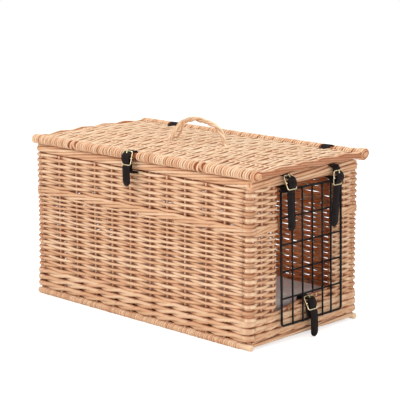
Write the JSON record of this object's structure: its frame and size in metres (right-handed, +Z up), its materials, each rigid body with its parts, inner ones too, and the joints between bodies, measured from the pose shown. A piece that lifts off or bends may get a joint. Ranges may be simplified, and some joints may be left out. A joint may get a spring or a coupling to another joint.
{
  "type": "wicker pet carrier",
  "caption": "Rectangular willow basket with a hinged woven lid, twisted carrying handle, wire door in one end, buckled leather straps and a cushion, for carrying a cat or small dog.",
  "frame": {"origin": "centre of the bounding box on the floor, under the middle of the basket", "axes": "+Z up, X along the basket with the wire door at +X, and the side with the front buckle at -Y"},
  "size_m": [0.6086, 0.348, 0.3778],
  "materials": {
    "willow_weave": "natural peeled willow rods, satin",
    "willow_border": "natural peeled willow rods, satin",
    "strap_leather": "near-black strap leather, soft sheen",
    "buckle_brass": "pale brass plate, polished and lightly worn",
    "door_wire": "black powder coat, matt",
    "cushion_cloth": "grey-mauve plain woven cover"
  },
  "bodies": {
    "basket": {"base_stick_front": "willow_border", "base_stick_back": "willow_border", "base_end_blind": "willow_border", "base_end_door": "willow_border", "base_panel": "willow_weave", "corner_post_front_blind": "willow_weave", "corner_post_back_blind": "willow_weave", "corner_post_front_door": "willow_weave", "corner_post_back_door": "willow_weave", "front_wall": "willow_weave", "back_wall": "willow_weave", "blind_end_wall": "willow_weave", "door_end_wall": "willow_weave", "border_front": "willow_border", "border_back": "willow_border", "border_blind_end": "willow_border", "door_header": "willow_border", "closure_anchor": "strap_leather", "lid_hinge_blind_strap": "strap_leather", "lid_hinge_blind_buckle": "buckle_brass", "lid_hinge_blind_prong": "buckle_brass", "lid_hinge_door_strap": "strap_leather", "lid_hinge_door_buckle": "buckle_brass", "lid_hinge_door_prong": "buckle_brass", "door_strap_front_loop": "strap_leather", "door_strap_front_buckle": "buckle_brass", "door_strap_front_prong": "buckle_brass", "door_strap_back_loop": "strap_leather", "door_strap_back_buckle": "buckle_brass", "door_strap_back_prong": "buckle_brass", "latch_anchor": "strap_leather", "cushion": "cushion_cloth"},
    "lid": {"lid_roll_front": "willow_border", "lid_roll_back": "willow_border", "lid_panel": "willow_weave", "lid_end_blind": "willow_border", "lid_end_door": "willow_border", "handle": "willow_border", "closure_strap": "strap_leather", "closure_strap_back": "strap_leather", "closure_buckle": "buckle_brass", "closure_prong": "buckle_brass"},
    "door": {"wire_door": "door_wire", "latch_strap": "strap_leather", "latch_strap_back": "strap_leather", "latch_buckle": "buckle_brass", "latch_prong": "buckle_brass"},
    "front_tail": {"door_strap_front_tail": "strap_leather"},
    "back_tail": {"door_strap_back_tail": "strap_leather"}
  },
  "joints": [
    {"name": "lid_hinge", "type": "hinge", "parent": "basket", "child": "lid", "pos_m": [0, 0.154, 0.3208], "axis": [-1, 0, 0], "range_deg": [0, 110]},
    {"name": "door_hinge", "type": "hinge", "parent": "basket", "child": "door", "pos_m": [0.28915, 0.008, 0.282], "axis": [0, -1, 0], "range_deg": [0, 90]},
    {"name": "front_tail_bend", "type": "hinge", "parent": "basket", "child": "front_tail", "pos_m": [0.29505, -0.0617, 0.275], "axis": [0, -1, 0], "range_deg": [0, 103.5]},
    {"name": "back_tail_bend", "type": "hinge", "parent": "basket", "child": "back_tail", "pos_m": [0.29505, 0.0777, 0.275], "axis": [0, -1, 0], "range_deg": [0, 103.5]}
  ],
  "couplings": [
    {"joint": "front_tail_bend", "follows": "door_hinge", "ratio": 1.15},
    {"joint": "back_tail_bend", "follows": "door_hinge", "ratio": 1.15}
  ]
}
